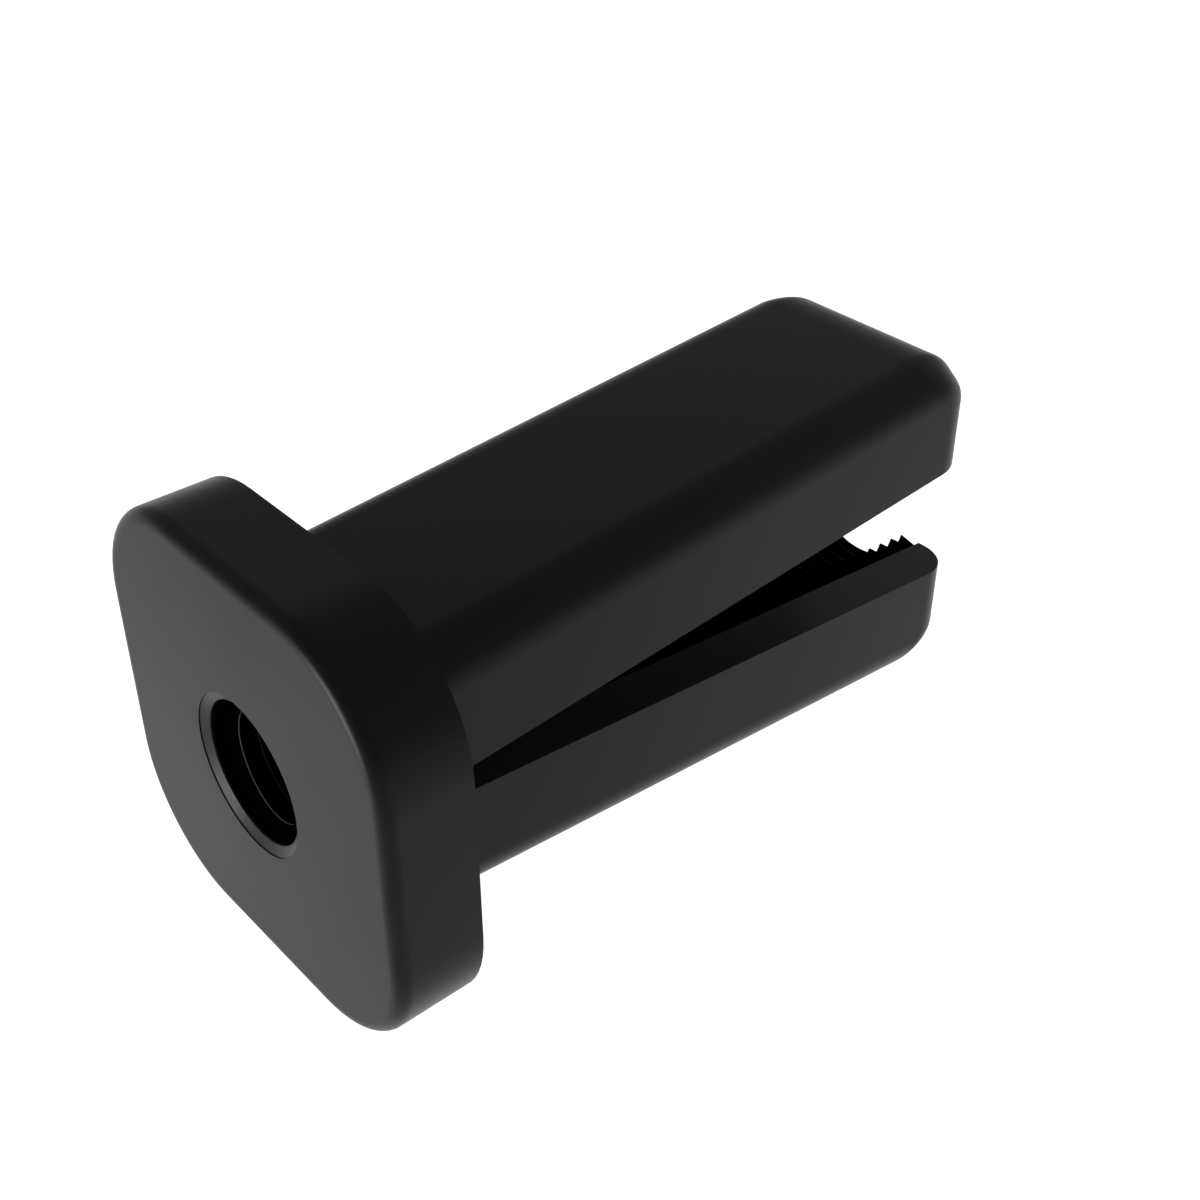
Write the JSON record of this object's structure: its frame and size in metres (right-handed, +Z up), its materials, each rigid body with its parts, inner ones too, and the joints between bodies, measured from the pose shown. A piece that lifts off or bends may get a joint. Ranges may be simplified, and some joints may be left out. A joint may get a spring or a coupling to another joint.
{
  "type": "lock nut",
  "caption": "Square-head expanding lock nut in black plastic: a square shank split into two leaning jaws, which a screw driven through the head's threaded bore wedges apart.",
  "frame": {"origin": "End of the head's bore wall on its axis, in the plane of the seating face where the shank starts", "axes": "+X runs along the bore's axis towards the shank's free end, +Z is up, square to the slot, and +Y is level, in the slot's plane"},
  "size_m": [0.0448, 0.024, 0.024],
  "materials": {
    "black_plastic": "moulded satin black nylon"
  },
  "bodies": {
    "root": {"nut_body": "black_plastic"}
  },
  "joints": []
}
